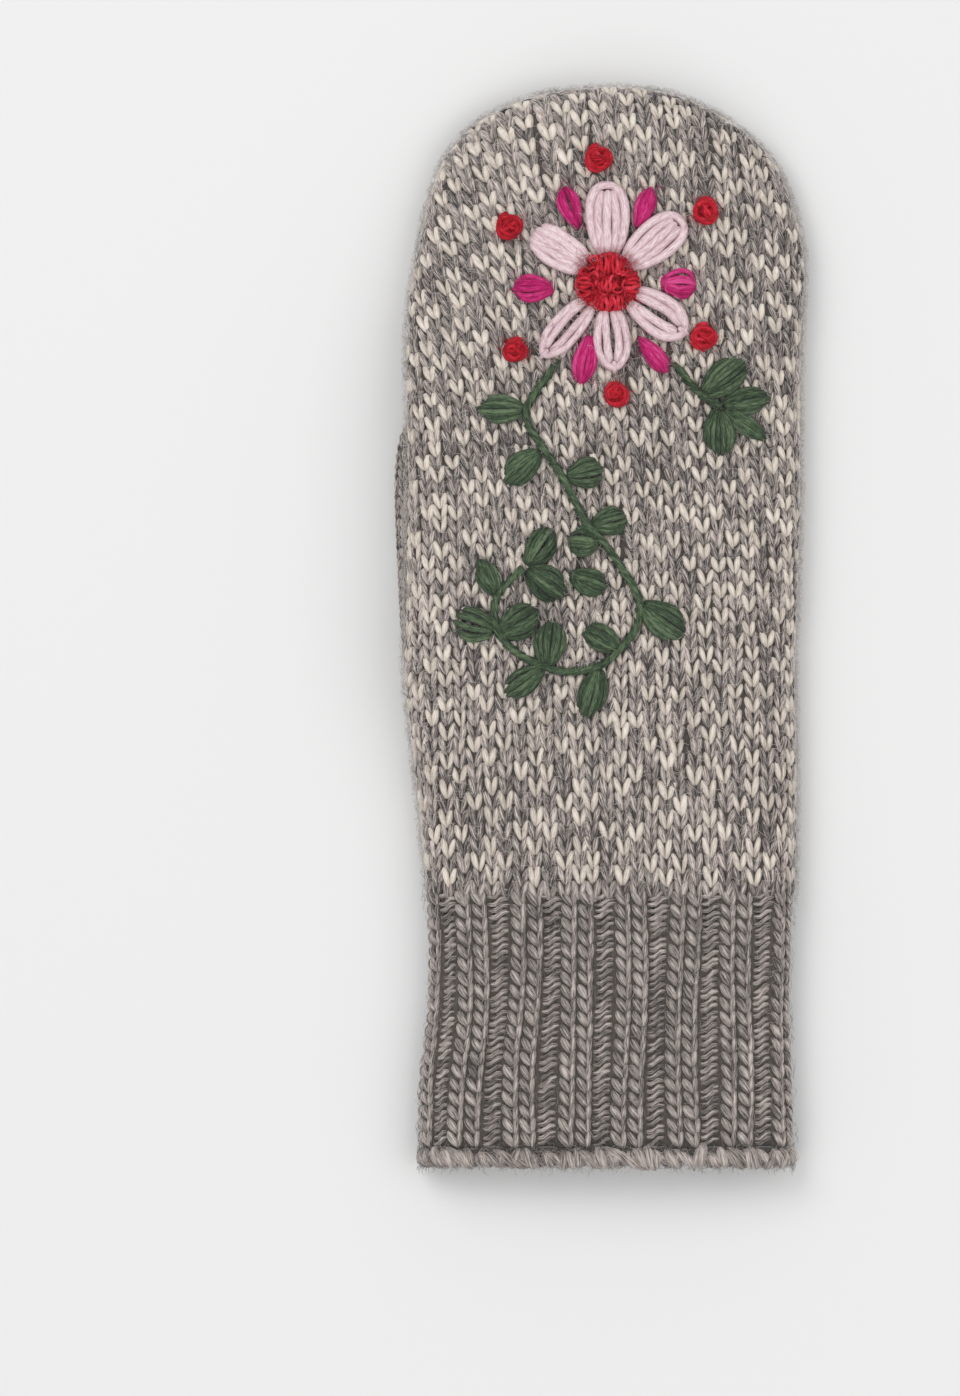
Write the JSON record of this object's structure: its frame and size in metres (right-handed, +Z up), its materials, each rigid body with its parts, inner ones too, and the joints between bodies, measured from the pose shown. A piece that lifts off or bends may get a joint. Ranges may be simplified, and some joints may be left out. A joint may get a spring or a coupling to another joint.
{
  "type": "wool mitten",
  "caption": "Knitted wool mitten lying flat, with a ribbed cuff, a hollow thumb folded under the palm, and an embroidered flower and vine on its back.",
  "frame": {"origin": "middle of the cast-on edge's underside, on the surface that the mitten lies on", "axes": "+X across the hand towards the little finger's side, +Y from the cuff to the fingertips, +Z up from the palm to the embroidered back of the hand"},
  "size_m": [0.1062, 0.2793, 0.0256],
  "materials": {
    "speckled_wool": "grey heather wool knitted with small off-white speckles, matt and a little fuzzy",
    "grey_wool": "grey heather wool, matt and a little fuzzy",
    "red_wool": "matt wool embroidery yarn",
    "pink_wool": "matt wool embroidery yarn",
    "magenta_wool": "matt wool embroidery yarn",
    "green_wool": "matt wool embroidery yarn"
  },
  "bodies": {
    "root": {"hand": "speckled_wool", "cuff": "grey_wool", "cast_on_edge": "grey_wool", "thumb": "grey_wool", "flower_centre": "red_wool", "knot_top": "red_wool", "knot_upper_right": "red_wool", "knot_lower_right": "red_wool", "knot_bottom": "red_wool", "knot_lower_left": "red_wool", "knot_upper_left": "red_wool", "petal_top": "pink_wool", "petal_upper_right": "pink_wool", "petal_lower_right": "pink_wool", "petal_bottom": "pink_wool", "petal_lower_left": "pink_wool", "petal_upper_left": "pink_wool", "bud_upper_left": "magenta_wool", "bud_upper_right": "magenta_wool", "bud_right": "magenta_wool", "bud_lower_right": "magenta_wool", "bud_lower_left": "magenta_wool", "bud_left": "magenta_wool", "stem_main": "green_wool", "stem_side": "green_wool", "leaf_1": "green_wool", "leaf_2": "green_wool", "leaf_3": "green_wool", "leaf_4": "green_wool", "leaf_5": "green_wool", "leaf_6": "green_wool", "leaf_7": "green_wool", "leaf_8": "green_wool", "leaf_9": "green_wool", "leaf_10": "green_wool", "leaf_11": "green_wool", "leaf_12": "green_wool", "leaf_13": "green_wool", "leaf_14": "green_wool", "leaf_15": "green_wool", "leaf_16": "green_wool", "leaf_17": "green_wool", "leaf_18": "green_wool", "leaf_19": "green_wool", "leaf_20": "green_wool"}
  },
  "joints": []
}
